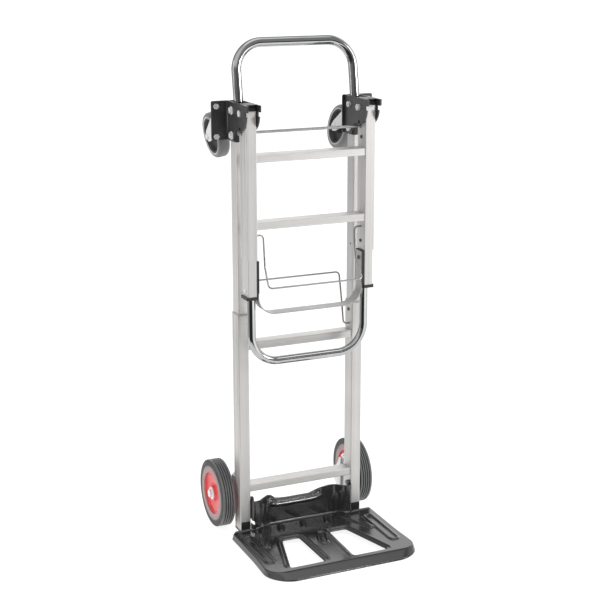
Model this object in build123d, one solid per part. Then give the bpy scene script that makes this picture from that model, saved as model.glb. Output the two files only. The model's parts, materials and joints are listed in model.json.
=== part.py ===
from build123d import *
import os
from math import cos, hypot, radians, sin

os.makedirs("parts", exist_ok=True)

# Folding hand truck, sizes in millimetres.
# X runs across, Y runs from the front to the back, Z runs up from the floor.
# The layout puts Y = 0 on the front face of the lower tubes; y_shift then centres the whole on the origin.

# Clearances
slide_gap = 0.4
run_gap = 0.05
plate_gap = 0.75
pin_gap = 0.3
cut_reach = 600.0

# Lower frame
low_w = 25.4
low_d = 38.0
low_wall = 1.6
low_round = 2.2
tube_x = 142.2
low_z0 = 13.0
low_long = 520.0
low_z1 = low_z0 + low_long
low_y = low_d / 2
low_in = tube_x - low_w / 2
low_out = tube_x + low_w / 2
groove_w = 1.4
groove_d = 0.5
notch_top = low_z0 + 20.0
rung_d = 32.0
rung_h = 18.0
rung_wall = 1.6
rung_high_z = low_z1 - 74.0
stop_rivet_z = low_z1 - 18.0
foot_z0 = low_z0 - 6.0
collar_h = 3.5

# Main wheels, the rear plane is where they meet the floor when the truck lies down
wheel_r = 80.0
wheel_y = 90.0
tyre_half = 16.0
tread_half = 14.0
wheel_side_gap = 7.1
wheel_x = low_out + wheel_side_gap + tyre_half
hub_r = 50.0
hub_half = tyre_half - 3.5
boss_half = hub_half + 1.5
axle_r = 6.0
rear_plane = wheel_y + wheel_r

# Wheel arms and their upright hinges
hinge_y = 58.0
hinge_pin_r = 4.0
hinge_z0 = 44.0
hinge_z1 = 130.0
lug_t = 4.0
lug_r = 10.0
arm_sheet = 2.5
arm_in = low_in - 2.0
arm_out = low_out + 2.0
arm_play = 0.6

# Toe plate, a pressed pan with a long slope in front and steep sides; its pattern sits a little to the left
toe_top = 16.0
toe_sheet = 2.5
toe_front = -270.0
toe_back = -1.0
toe_half = 182.5
toe_corner = 52.0
toe_rear_corner = 8.0
front_run = 23.5
side_run = 3.5
corner_run = 24.0
press_x = -8.0
press_h = 2.8
window_back = -91.5
window_front = -229.0
window_in = (39.5, 36.5)
window_out = (80.0, 118.5)
window_round = 6.0
toe_pivot_y = 6.5
toe_pivot_z = 85.0
toe_pin_r = 4.0
ear_out = low_in - 0.7
ear_r = 10.0
ear_bend = 7.0
upright_mid_y = 1.0
upright_end_y = -12.0
upright_mid_x = 84.0
upright_end_x = 108.0
upright_top = 79.0
lobe_top = 90.5
lobe_side = 85.5
roll_r = 8.0
roll_z = upright_top - 8.0
rung_low_z = toe_pivot_z + toe_pivot_y - upright_end_y + rung_h / 2 + 1.5

# Upper frame, sliding in the lower tubes
up_w = low_w - 2 * low_wall - 2 * slide_gap
up_d = low_d - 2 * low_wall - 2 * slide_gap
up_wall = 1.5
up_z1 = 962.0
up_long = 537.0
up_z0 = up_z1 - up_long
frame_travel = 190.0

# Brackets
sheet = 3.0
gap_in = 128.9
gap_out = 155.0
plate_in = gap_in - sheet
plate_out = gap_out + sheet
gap_mid = (gap_in + gap_out) / 2
brk_z0 = up_z1 - 35.0
brk_high = 85.0
brk_z1 = brk_z0 + brk_high
brk_back = 43.2
brk_front = -78.0
brk_bend = 3.0
flange_in = 120.5
flange_out = 195.0
flange_bolts_x = (flange_in + 11.0, flange_out - 11.0)
flange_bolts_z = (brk_z0 + 7.0, brk_z1 - 12.0)
bolt_r = 3.0
bolt_y = low_y - 4.6
bolt_low_z = brk_z0 + 12.0
bolt_high_z = brk_z1 - 19.0

# Front frame and its hinge in the brackets
front_w = gap_out - gap_in - 2 * plate_gap
front_d = 40.0
front_wall = 1.5
front_y = -40.0
front_z1 = brk_z1 - 14.0
front_long = 326.0
front_z0 = front_z1 - front_long
front_in = gap_mid - front_w / 2
front_rivets_z = (front_z0 + 19.0, front_z1 - 71.5)
swing_y = -34.0
swing_z = brk_z1 - 20.5
swing_r = 4.0
front_rung_d = 37.0
front_rung_h = 16.5
front_rung_high = front_z1 - 103.0
front_rung_low = front_z0 + 75.5

# Lock rod, shown drawn clear of the notches in the side plates
rod_r = 3.2
cam_r = 38.0
rod_reach = cam_r + rod_r + slide_gap
rod_in = 8.1
rod_out = 2.0
notch_r = rod_reach - rod_in - rod_r - slide_gap
rod_z = swing_z - rod_reach
rod_end = plate_out + 2.0

# Top handle
grip_r = 11.0
grip_wall = 1.5
grip_x = 140.0
grip_y = 18.0
grip_z0 = up_z1 + 6.0
grip_bend_z = brk_z1 + 2.0
grip_rise = 121.0
grip_lean = 9.0
grip_corner = grip_rise / 2

# Casters
cast_x = 162.5
cast_pin_z = brk_z0 + 39.0
cast_trail = 39.0
cast_turn = 10.0
cast_r = 51.5
cast_half = 14.0
cast_rim_r = 40.0
cast_axle_r = 4.0
cast_y = rear_plane - cast_r
cast_z = cast_pin_z - cast_trail
cast_plate = 2.8
cast_race = 6.0
fork_sheet = 2.5
fork_half = 16.5

# Push handle, sliding in the front tubes
push_w = front_w - 2 * front_wall - 1.2
push_d = front_d - 2 * front_wall - 1.2
push_wall = 1.5
push_in = gap_mid - push_w / 2
push_out = gap_mid + push_w / 2
cuff_z0 = front_z0 - 89.0
cuff_z1 = cuff_z0 + 7.0
cuff_w = 27.4
cuff_d = front_d - 2.0
cuff_screw_z = cuff_z1 + 12.0
cuff_plug = 20.0
push_z0 = cuff_z1
push_long = 340.0
push_z1 = push_z0 + push_long
push_travel = 120.0
loop_r = 9.5
loop_wall = 1.4
loop_x = 138.5
loop_drop = 150.5
loop_z = cuff_z0 - loop_drop
loop_corner = 65.0
loop_top = cuff_z1
spigot_r = 4.4
spigot_top = loop_top + 50.0
band_t = 2.0
band_out = push_in - 4.35
band_in = band_out - band_t
band_y0 = front_y - 15.0
band_y1 = front_y + 15.0
band_low = cuff_z0 - 37.5
band_top = front_z0 - 4.0
band_corner = 42.0
band_rivet_z = front_z0 - 20.0
sleeve_rim = 2.0
sleeve_z0 = cuff_z1 + 7.0
sleeve_z1 = band_top + sleeve_rim

# Spring wires
wire_r = 2.0
wire_bend = 9.0
push_wire_x = front_in - 18.9
push_wire_low_x = front_in - 15.2
push_wire_shift = 2.2
push_wire_z = front_z0 + 52.0
push_wire_drop = 112.5
push_wire_out = 39.0
frame_wire_x = low_in - 14.5
frame_wire_y = 16.0
frame_wire_z = low_z1 - 51.0
frame_wire_rise = 120.0
frame_wire_back = 22.0
frame_wire_shift = 0.0

y_shift = -(toe_front + rear_plane) / 2


# Plain shape helpers
def block(x0, x1, y0, y1, z0, z1):
    return Pos((x0 + x1) / 2, (y0 + y1) / 2, (z0 + z1) / 2) * Box(x1 - x0, y1 - y0, z1 - z0)


def rod_along_x(x0, x1, y, z, r):
    return Pos((x0 + x1) / 2, y, z) * Rot(0, 90, 0) * Cylinder(r, abs(x1 - x0))


def rod_along_y(x, y0, y1, z, r):
    return Pos(x, (y0 + y1) / 2, z) * Rot(90, 0, 0) * Cylinder(r, y1 - y0)


def rod_along_z(x, y, z0, z1, r):
    return Pos(x, y, (z0 + z1) / 2) * Cylinder(r, z1 - z0)


def hex_along_x(x0, x1, y, z, r):
    face = Plane.YZ.offset(x0) * Pos(y, z) * RegularPolygon(r, 6)
    return extrude(face, amount=x1 - x0)


def hex_along_y(x, y0, y1, z, r):
    face = Plane.XZ.offset(-y0) * Pos(x, z) * RegularPolygon(r, 6)
    return extrude(face, amount=-(y1 - y0))


def post(x, y, z0, z1, w, d, r):
    return extrude(Pos(x, y, z0) * RectangleRounded(w, d, r), amount=z1 - z0)


def box_tube(x, y, z0, z1, w, d, wall, r):
    inner = post(x, y, z0 - 1, z1 + 1, w - 2 * wall, d - 2 * wall, r - wall / 2)
    return post(x, y, z0, z1, w, d, r) - inner


def cross_tube(half, y, z, d, h, wall, r):
    place = Plane.YZ.offset(-half) * Pos(y, z)
    outer = extrude(place * RectangleRounded(d, h, r), amount=2 * half)
    inner = extrude(place * RectangleRounded(d - 2 * wall, h - 2 * wall, r - wall / 2), amount=2 * half)
    return outer - inner


def side_plate(points, x0, x1):
    face = make_face(Polyline(*[(x0, y, z) for y, z in points], close=True))
    return extrude(face, amount=x1 - x0, dir=(1, 0, 0))


def floor_plate(points, z0, z1):
    face = make_face(Polyline(*[(x, y, z0) for x, y in points], close=True))
    return extrude(face, amount=z1 - z0, dir=(0, 0, 1))


def front_plate(points, y0, y1):
    face = make_face(Polyline(*[(x, y0, z) for x, z in points], close=True))
    return extrude(face, amount=y1 - y0, dir=(0, 1, 0))


def spin_about_x(points, x, y, z):
    face = make_face(Polyline(*[(px, pr, 0) for px, pr in points], close=True))
    return Pos(x, y, z) * revolve(face, axis=Axis.X)


def bent_wire(points, bend, r):
    path = FilletPolyline(*points, radius=bend)
    start = Plane(origin=path @ 0, z_dir=path % 0)
    return sweep(start * Circle(r), path=path)


def across(shape):
    return mirror(shape, about=Plane.YZ)


def save(name, *shapes):
    placed = [Pos(0, y_shift, 0) * shape for shape in shapes]
    whole = placed[0] if len(placed) == 1 else Compound(children=placed)
    export_step(whole, "parts/" + name + ".step")


# Lower tubes with shallow drawn grooves, a notch for the toe plate and holes for pins and wire
def lower_tube():
    tube = box_tube(tube_x, low_y, low_z0, low_z1, low_w, low_d, low_wall, low_round)
    for share in (0.25, 0.75):
        mid = low_d * share
        tube -= block(low_out - groove_d, low_out + 1, mid - groove_w / 2, mid + groove_w / 2, 0, low_z1 + 1)
    inside = low_w / 2 - low_wall
    tube -= block(tube_x - inside, tube_x + inside, -1, low_wall + 2.5, 0, notch_top)
    tube -= rod_along_x(low_in - 1, tube_x, toe_pivot_y, toe_pivot_z, toe_pin_r)
    tube -= rod_along_x(low_in - 1, tube_x, frame_wire_y, frame_wire_z, wire_r + run_gap)
    tube -= rod_along_x(low_in - 1, tube_x, low_y, stop_rivet_z, 2.4)
    return tube


right = lower_tube()
save("lower_tube_right", right)
save("lower_tube_left", across(right))

save("lower_rung_bottom", cross_tube(low_in, low_y, rung_low_z, rung_d, rung_h, rung_wall, 2.0))
save("lower_rung_top", cross_tube(low_in, low_y, rung_high_z, rung_d, rung_h, rung_wall, 2.0))

# Foot plugs close the tube ends and show in the notch
plug_w = low_w - 2 * low_wall - 0.2
plug_d = low_d - 2 * low_wall - 0.2
plug = post(tube_x, low_y, foot_z0, low_z0, low_w, low_d, low_round)
plug += post(tube_x, low_y, low_z0, notch_top + 6, plug_w, plug_d, 1.6)
plug += block(tube_x - plug_w / 2, tube_x + plug_w / 2, 0.2, 4, low_z0, notch_top - 0.2)
for step in range(3):
    z = low_z0 + 5.0 * (step + 1)
    plug -= block(tube_x - plug_w, tube_x + plug_w, -1, 1.2, z, z + 1.6)
save("foot_plugs", plug, across(plug))

# Guide collars ring the upper tubes
guide = post(tube_x, low_y, low_z1, low_z1 + collar_h, low_w, low_d, low_round)
guide -= post(tube_x, low_y, low_z1 - 1, low_z1 + collar_h + 1, up_w + 0.7, up_d + 0.7, 1.4)
save("guide_collars", guide, across(guide))

# Stop rivets near the tube tops
rivet = rod_along_x(low_in - 2, low_in, low_y, stop_rivet_z, 4.0)
rivet += rod_along_x(low_in, low_in + low_wall, low_y, stop_rivet_z, 2.4)
save("lower_rivets", rivet, across(rivet))

# Toe plate pivot pins, each with a thick head and a spacing collar
toe_pin = rod_along_x(ear_out - toe_sheet - 5, ear_out - toe_sheet - pin_gap, toe_pivot_y, toe_pivot_z, 6.5)
toe_pin += rod_along_x(ear_out - toe_sheet - 2, low_in + low_wall, toe_pivot_y, toe_pivot_z, toe_pin_r)
toe_pin += rod_along_x(ear_out + pin_gap, low_in, toe_pivot_y, toe_pivot_z, 6.5)
save("toe_pivot_pins", toe_pin, across(toe_pin))

# Hinge brackets for the wheel arms, fixed behind the lower tubes
hinge = block(tube_x - 11, tube_x + 11, low_d, low_d + sheet, hinge_z0 - lug_t, hinge_z1 + lug_t)
for z in (hinge_z0 - lug_t, hinge_z1):
    hinge += block(tube_x - lug_r, tube_x + lug_r, low_d, hinge_y, z, z + lug_t)
    hinge += rod_along_z(tube_x, hinge_y, z, z + lug_t, lug_r)
hinge -= rod_along_z(tube_x, hinge_y, hinge_z0 - 20, hinge_z1 + 20, hinge_pin_r)
save("wheel_hinge_brackets", hinge, across(hinge))

hinge_pin = rod_along_z(tube_x, hinge_y, hinge_z0 - lug_t - 2, hinge_z1 + lug_t, hinge_pin_r)
hinge_pin += rod_along_z(tube_x, hinge_y, hinge_z1 + lug_t, hinge_z1 + lug_t + 3, 6.5)
hinge_pin += rod_along_z(tube_x, hinge_y, hinge_z0 - lug_t - 4, hinge_z0 - lug_t, 6.0)
save("wheel_hinge_pins", hinge_pin, across(hinge_pin))


# Wheel arm: a barrel on the hinge pin and a folded channel with tapered cheeks
def wheel_arm():
    z0 = hinge_z0 + arm_play
    z1 = hinge_z1 - arm_play
    cheek = [
        (hinge_y - 4, z1),
        (hinge_y + 6, z1),
        (wheel_y + 13, wheel_r + 30),
        (wheel_y + 10, wheel_r - 8),
        (wheel_y - 18, z0 + 6),
        (hinge_y + 2, z0),
        (hinge_y - 4, z0),
    ]
    arm = side_plate(cheek, arm_out - arm_sheet, arm_out)
    arm += side_plate(cheek, arm_in, arm_in + arm_sheet)
    arm += block(arm_in, arm_out, hinge_y + 2, hinge_y + 2 + arm_sheet, z0, z1)
    arm += rod_along_z(tube_x, hinge_y, z0, z1, 8.0)
    arm -= rod_along_z(tube_x, hinge_y, z0 - 1, z1 + 1, hinge_pin_r + run_gap)
    arm -= rod_along_x(arm_in - 1, arm_out + 1, wheel_y, wheel_r, axle_r)
    return arm


right = wheel_arm()
save("wheel_arm_right", right)
save("wheel_arm_left", across(right))

hub_in = wheel_x - boss_half
hub_out = wheel_x + boss_half
axle = rod_along_x(arm_in - 4, arm_in, wheel_y, wheel_r, 10.0)
axle += rod_along_x(arm_in, hub_out + 6, wheel_y, wheel_r, axle_r)
axle += rod_along_x(arm_out, hub_in - pin_gap, wheel_y, wheel_r, 10.0)
save("wheel_axle_right", axle)
save("wheel_axle_left", across(axle))

nut = rod_along_x(hub_out + pin_gap, hub_out + 2.3, wheel_y, wheel_r, 15.0)
nut += hex_along_x(hub_out + 2.3, hub_out + 8, wheel_y, wheel_r, 10.0)
nut -= rod_along_x(hub_out - 1, hub_out + 6, wheel_y, wheel_r, axle_r)
save("axle_nut_right", nut)
save("axle_nut_left", across(nut))

# Tyre with five tread ribs between four grooves
groove = 2.4
rib_step = 2 * tread_half / 5
tyre_side = [
    (-tyre_half, hub_r),
    (-tyre_half, wheel_r - 7),
    (-tyre_half + 0.6, wheel_r - 3),
    (-tread_half - 0.8, wheel_r - 0.7),
]
tread = [(-tread_half, wheel_r)]
for share in (-1.5, -0.5, 0.5, 1.5):
    mid = share * rib_step
    tread.append((mid - 1.3, wheel_r))
    tread.append((mid - 0.8, wheel_r - groove))
    tread.append((mid + 0.8, wheel_r - groove))
    tread.append((mid + 1.3, wheel_r))
tread.append((tread_half, wheel_r))
tyre_profile = tyre_side + tread + [(-px, pr) for px, pr in reversed(tyre_side)]
tyre = spin_about_x(tyre_profile, wheel_x, wheel_y, wheel_r)
save("tyre_right", tyre)
save("tyre_left", across(tyre))

# Dished hub disc with a rim ring and a raised boss
hub_side = [
    (hub_half, hub_r),
    (hub_half, hub_r - 4),
    (hub_half - 2.5, hub_r - 6),
    (hub_half - 5.0, 24.0),
    (hub_half - 3.0, 19.0),
    (boss_half, 17.0),
    (boss_half, axle_r + run_gap),
]
hub = spin_about_x(hub_side + [(-px, pr) for px, pr in reversed(hub_side)], wheel_x, wheel_y, wheel_r)
save("hub_right", hub)
save("hub_left", across(hub))


# Toe plate, one pressed sheet
def toe_section(z, front_cut, side_cut):
    share = z / toe_top
    half = toe_half - side_run * share - side_cut
    front = toe_front + front_run * share + front_cut
    back = toe_back - side_run * share - side_cut
    face = Pos(0, (front + back) / 2, z) * Rectangle(2 * half, back - front)
    face = fillet(face.vertices().group_by(Axis.Y)[0], toe_corner - corner_run * share - side_cut)
    return fillet(face.vertices().group_by(Axis.Y)[-1], toe_rear_corner - side_run * share - side_cut)


def toe_pan(z0, z1, front_cut, side_cut):
    return loft([toe_section(z0, front_cut, side_cut), toe_section(z1, front_cut, side_cut)], ruled=True)


def raised_slot(x, y, long, wide, taper=0.0):
    face = Pos(x, y, toe_top - 0.5) * SlotOverall(long, wide, rotation=90)
    return extrude(face, amount=press_h, taper=taper)


front_thick = toe_sheet * hypot(front_run, toe_top) / toe_top
side_thick = toe_sheet * hypot(side_run, toe_top) / toe_top
plate = toe_pan(0.0, toe_top, 0.0, 0.0)
plate -= toe_pan(-0.001, toe_top - toe_sheet, front_thick, side_thick)
plate -= block(-ear_out, ear_out, upright_end_y - 1, 20, -1, toe_top + 20)

# Raised beads along the sides, each a long loop
for side in (-1, 1):
    x = press_x + side * 156
    plate += raised_slot(x, -118, 150, 21) - raised_slot(x, -118, 139, 10)

# Windows with beads beside them
for side in (-1, 1):
    corners = [
        (press_x + side * window_in[0], window_back),
        (press_x + side * window_out[0], window_back),
        (press_x + side * window_out[1], window_front),
        (press_x + side * window_in[1], window_front),
    ]
    plate -= fillet(floor_plate(corners, -1, toe_top + 8).edges().filter_by(Axis.Z), window_round)
    for ends, away in ((window_out, 11.0), (window_in, -9.0)):
        path = Line(
            (press_x + side * (ends[0] + away), window_back + 4, toe_top - 1),
            (press_x + side * (ends[1] + away), window_front + 4, toe_top - 1),
        )
        bead = sweep(Plane(origin=path @ 0, z_dir=path % 0) * Circle(3.4), path=path)
        bead += Pos(*(path @ 0)) * Sphere(3.4)
        bead += Pos(*(path @ 1)) * Sphere(3.4)
        plate += bead - block(-cut_reach, cut_reach, -cut_reach, cut_reach, 0, toe_top - toe_sheet / 2)

# Middle drop and the cross ribs behind the windows
plate += raised_slot(press_x / 2, -106, 72, 24, 20)
for side in (-1, 1):
    rib = Pos(press_x + side * 62, -60, toe_top - 0.5) * SlotOverall(70, 16)
    plate += extrude(rib, amount=press_h, taper=20)

# Upright between the tubes, set back in the middle
wall_line = [
    (-ear_out, upright_end_y),
    (-upright_end_x, upright_end_y),
    (-upright_mid_x, upright_mid_y),
    (upright_mid_x, upright_mid_y),
    (upright_end_x, upright_end_y),
    (ear_out, upright_end_y),
]
back_line = [(x, y + toe_sheet) for x, y in reversed(wall_line)]
wall = floor_plate(wall_line + back_line, toe_top - toe_sheet, toe_pivot_z + 40)
crest = Spline(
    (-115, 0, lobe_side),
    (-102, 0, lobe_top - 1.5),
    (-87, 0, lobe_top),
    (-68, 0, upright_top),
    (-40, 0, upright_top - 0.5),
    (16, 0, upright_top),
    (50, 0, lobe_top - 1.0),
    (88, 0, lobe_top),
    (115, 0, lobe_side),
    tangents=[(1, 0, 0), (1, 0, 0)],
)
rim = Polyline(
    crest @ 1,
    (ear_out, 0, lobe_side),
    (ear_out, 0, toe_top - toe_sheet),
    (-ear_out, 0, toe_top - toe_sheet),
    (-ear_out, 0, lobe_side),
    crest @ 0,
)
wall = wall & extrude(make_face([crest, rim]), amount=60, dir=(0, 1, 0), both=True)
plate += wall
plate += floor_plate(
    [(-ear_out, upright_end_y - 2), (ear_out, upright_end_y - 2)] + back_line, toe_top - toe_sheet, toe_top
)

# Rolled bead along the middle of the upright and short ribs on the lobes
roll_y = upright_mid_y + 1.5
roll_ends = (press_x - 54.0, press_x + 44.0)
roll = rod_along_x(*roll_ends, roll_y, roll_z, roll_r)
for x in roll_ends:
    roll += Pos(x, roll_y, roll_z) * Sphere(roll_r)
plate += roll - block(-cut_reach, cut_reach, upright_mid_y + toe_sheet, cut_reach, 0, cut_reach)
plate -= rod_along_x(*roll_ends, roll_y, roll_z, roll_r - toe_sheet)
for side in (-1, 1):
    for step in (2.0, 13.0):
        x = upright_mid_x + step
        share = step / (upright_end_x - upright_mid_x)
        y = upright_mid_y + share * (upright_end_y - upright_mid_y) + 1.0
        rib = rod_along_z(side * x, y, toe_top + 24, toe_top + 54, 2.6)
        rib += Pos(side * x, y, toe_top + 24) * Sphere(2.6)
        rib += Pos(side * x, y, toe_top + 54) * Sphere(2.6)
        plate += rib

# The upright's ends bend back into ears on the pivot pins
corner_x = ear_out - ear_bend
corner_y = upright_end_y + ear_bend
corner = rod_along_z(corner_x, corner_y, toe_top, lobe_side, ear_bend)
corner -= rod_along_z(corner_x, corner_y, toe_top - 1, lobe_side + 1, ear_bend - toe_sheet)
corner = corner & block(corner_x, ear_out, upright_end_y, corner_y, toe_top, lobe_side)
room = block(corner_x, ear_out + 1, upright_end_y - 1, corner_y, toe_top, lobe_side + 1)
plate -= room
plate -= across(room)
plate += corner
plate += across(corner)
ear = side_plate(
    [
        (corner_y, toe_top + 14),
        (corner_y + toe_sheet, toe_top + 14),
        (toe_pivot_y + ear_r, toe_pivot_z - 4),
        (toe_pivot_y + ear_r, toe_pivot_z),
        (toe_pivot_y, toe_pivot_z + ear_r),
        (corner_y, lobe_side),
    ],
    ear_out - toe_sheet,
    ear_out,
)
ear += rod_along_x(ear_out - toe_sheet, ear_out, toe_pivot_y, toe_pivot_z, ear_r)
ear -= rod_along_x(ear_out - 20, ear_out + 20, toe_pivot_y, toe_pivot_z, toe_pin_r + run_gap)
plate += ear
plate += across(ear)
save("toe_plate", plate)


# Upper tubes
def upper_tube():
    tube = box_tube(tube_x, low_y, up_z0, up_z1, up_w, up_d, up_wall, 1.6)
    tube -= rod_along_x(gap_in, gap_out, bolt_y, bolt_low_z, bolt_r)
    for z in (frame_wire_z, frame_wire_z + frame_travel):
        tube -= rod_along_x(low_in, tube_x, frame_wire_y, z, wire_r + 0.5)
    return tube


right = upper_tube()
save("upper_tube_right", right)
save("upper_tube_left", across(right))

shoe = post(tube_x, low_y, up_z0 - 4, up_z0, up_w, up_d, 1.6)
shoe += post(tube_x, low_y, up_z0, up_z0 + 22, up_w - 2 * up_wall - 0.1, up_d - 2 * up_wall - 0.1, 0.8)
save("slide_shoes", shoe, across(shoe))

# Core blocks between the bracket plates hold the tube from below and the handle leg from above
core_z0 = brk_z0 - 2
core_z1 = brk_z1 - 3
core = block(gap_in, gap_out, low_y - up_d / 2 - 1.0, brk_back - sheet - 2.4, core_z0, core_z1)
core -= post(tube_x, low_y, core_z0 - 1, up_z1, up_w, up_d, 1.6)
core -= rod_along_z(grip_x, grip_y, grip_z0, core_z1 + 1, grip_r)
for z in (bolt_low_z, bolt_high_z):
    core -= rod_along_x(gap_in - 1, gap_out + 1, bolt_y, z, bolt_r)
save("bracket_cores", core, across(core))


# Brackets: two hooked side plates on a wide back plate
def bracket():
    arc = []
    for step in range(0, 9):
        turn = radians(84.3 - step * (84.3 - 6.0) / 8)
        arc.append((swing_y - cam_r * sin(turn), swing_z - cam_r * cos(turn)))
    half_notch = rod_r + slide_gap + 0.3
    deep = notch_r
    profile = [
        (brk_back, brk_z1),
        (brk_front, brk_z1),
        (brk_front, swing_z + 6.0),
        (swing_y - deep, swing_z + 6.0),
        (swing_y - deep, arc[0][1]),
    ]
    profile += arc
    profile += [
        (swing_y - half_notch, swing_z - deep),
        (swing_y + half_notch, swing_z - deep),
        (swing_y + half_notch, swing_z - cam_r),
        (-8.0, swing_z - cam_r),
        (0.0, brk_z0 + 13.0),
        (4.0, brk_z0 + 3.0),
        (10.0, brk_z0),
        (brk_back, brk_z0),
    ]
    body = side_plate(profile, gap_out, plate_out)
    body += side_plate(profile, plate_in, gap_in)
    back = block(flange_in, flange_out, brk_back - sheet, brk_back, brk_z0, brk_z1)
    body += fillet(back.edges().filter_by(Axis.Y), 4)
    bend_x = plate_out + brk_bend
    bend_y = brk_back - sheet - brk_bend
    bend = block(plate_out, bend_x, bend_y, brk_back - sheet, brk_z0, brk_z1)
    body += bend - rod_along_z(bend_x, bend_y, brk_z0, brk_z1, brk_bend)
    body += block(plate_out, plate_out + 1.4, brk_front, bolt_y - 10.0, swing_z + 7.5, brk_z1)
    for z in (bolt_low_z, bolt_high_z):
        body -= rod_along_x(plate_in - 1, plate_out + 3, bolt_y, z, bolt_r)
    body -= rod_along_x(plate_in - 1, plate_out + 3, swing_y, swing_z, swing_r)
    for x in flange_bolts_x:
        for z in flange_bolts_z:
            body -= rod_along_y(x, brk_back - 2 * sheet, brk_back + sheet, z, bolt_r)
    return body


right = bracket()
save("bracket_right", right)
save("bracket_left", across(right))

through = []
for z in (bolt_low_z, bolt_high_z):
    bolt = rod_along_x(plate_in - 7, plate_out + 6, bolt_y, z, bolt_r)
    bolt += hex_along_x(plate_out + 1.4, plate_out + 5, bolt_y, z, 7.0)
    bolt += rod_along_x(plate_out, plate_out + 1.4, bolt_y, z, 9.0)
    bolt += hex_along_x(plate_in - 5, plate_in, bolt_y, z, 7.0)
    through.append(bolt)
    through.append(across(bolt))
save("bracket_through_bolts", *through)

swing_bolt = rod_along_x(plate_in - 6, plate_out + 1.4, swing_y, swing_z, swing_r)
swing_bolt += rod_along_x(plate_out, plate_out + 3, swing_y, swing_z, 7.0)
swing_bolt += hex_along_x(plate_in - 6, plate_in, swing_y, swing_z, 7.5)
save("swing_bolts", swing_bolt, across(swing_bolt))

# Top handle: chromed tube, legs straight in the cores, then leaning back
grip_long = grip_rise / cos(radians(grip_lean))


def handle_body(r):
    tilt = Pos(0, grip_y, grip_bend_z) * Rot(-grip_lean, 0, 0)
    path = FilletPolyline(
        (-grip_x, 0, 0),
        (-grip_x, 0, grip_long),
        (grip_x, 0, grip_long),
        (grip_x, 0, 0),
        radius=grip_corner,
    )
    body = tilt * sweep(Plane(origin=path @ 0, z_dir=path % 0) * Circle(r), path=path)
    for side in (-1, 1):
        body += Pos(side * grip_x, grip_y, grip_bend_z) * Sphere(r)
        body += rod_along_z(side * grip_x, grip_y, grip_z0, grip_bend_z, r)
    return body


handle = handle_body(grip_r) - handle_body(grip_r - grip_wall)
for side in (-1, 1):
    handle -= rod_along_z(side * grip_x, grip_y, grip_z0 - 1, grip_z0 + 5, grip_r - grip_wall)
    handle -= rod_along_x(side * grip_x - 20, side * grip_x + 20, bolt_y, bolt_high_z, bolt_r)
save("top_handle", handle)

# Casters: fixed plate with race and king pin, then the turning fork and its wheel
plate_y0 = brk_back
plate_y1 = brk_back + cast_plate
race_y1 = plate_y1 + cast_race
crown_y0 = race_y1 + 0.4
crown_y1 = crown_y0 + fork_sheet
mount = block(flange_in + 1.5, flange_out - 1.5, plate_y0, plate_y1, brk_z0 + 2, brk_z1 - 2)
mount = fillet(mount.edges().filter_by(Axis.Y), 5)
mount += rod_along_y(cast_x, plate_y1, race_y1, cast_pin_z, 26.0)
mount += rod_along_y(cast_x, race_y1, crown_y1 + pin_gap, cast_pin_z, 5.0)
mount += rod_along_y(cast_x, crown_y1 + pin_gap, crown_y1 + 5, cast_pin_z, 9.0)
for x in flange_bolts_x:
    for z in flange_bolts_z:
        mount -= rod_along_y(x, brk_back - sheet, plate_y1 + 1, z, bolt_r)
save("caster_mount_right", mount)
save("caster_mount_left", across(mount))

fasteners = []
stud_x, bolt_x = flange_bolts_x
for z in flange_bolts_z:
    bolt = rod_along_y(bolt_x, brk_back - sheet, plate_y1 + 5, z, bolt_r)
    bolt += hex_along_y(bolt_x, brk_back - sheet - 4, brk_back - sheet, z, 6.5)
    bolt += hex_along_y(bolt_x, plate_y1, plate_y1 + 4.5, z, 5.6)
    stud = rod_along_y(stud_x, brk_back - sheet, plate_y1, z, bolt_r)
    stud += rod_along_y(stud_x, plate_y1, plate_y1 + 2.2, z, 5.0)
    for piece in (bolt, stud):
        fasteners.append(piece)
        fasteners.append(across(piece))
save("caster_bolts", *fasteners)


def caster_fork():
    body = rod_along_y(cast_x, crown_y0, crown_y1, cast_pin_z, 27.0)
    leg = [
        (crown_y0, cast_pin_z + 17),
        (crown_y0 + 16, cast_pin_z + 15),
        (cast_y + 8, cast_z + 12),
        (cast_y + 12, cast_z + 6),
        (cast_y + 12, cast_z - 6),
        (cast_y + 6, cast_z - 12),
        (cast_y - 6, cast_z - 11),
        (crown_y0, cast_pin_z - 24),
    ]
    body += side_plate(leg, cast_x + fork_half, cast_x + fork_half + fork_sheet)
    body += side_plate(leg, cast_x - fork_half - fork_sheet, cast_x - fork_half)
    bridge = [(crown_y0, cast_pin_z - 24), (crown_y0 + fork_sheet, cast_pin_z - 24)]
    bridge += [(crown_y0 + fork_sheet, cast_pin_z + 17), (crown_y0, cast_pin_z + 17)]
    body += side_plate(bridge, cast_x - fork_half - fork_sheet, cast_x + fork_half + fork_sheet)
    body -= rod_along_y(cast_x, 0, crown_y1 + 1, cast_pin_z, 5.0 + run_gap)
    body -= rod_along_x(cast_x - 40, cast_x + 40, cast_y, cast_z, cast_axle_r)
    return body


# The casters hang a little turned on their king pins, wheels toward the middle
def turned(shape):
    return Pos(cast_x, 0, cast_pin_z) * Rot(0, cast_turn, 0) * Pos(-cast_x, 0, -cast_pin_z) * shape


right = turned(caster_fork())
save("caster_fork_right", right)
save("caster_fork_left", across(right))

pin_half = fork_half + fork_sheet
axle = rod_along_x(cast_x - pin_half - 6, cast_x + pin_half + 1, cast_y, cast_z, cast_axle_r)
axle += hex_along_x(cast_x + pin_half, cast_x + pin_half + 4.5, cast_y, cast_z, 7.0)
axle += hex_along_x(cast_x - pin_half - 5, cast_x - pin_half, cast_y, cast_z, 7.0)
axle = turned(axle)
save("caster_axle_right", axle)
save("caster_axle_left", across(axle))

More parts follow.
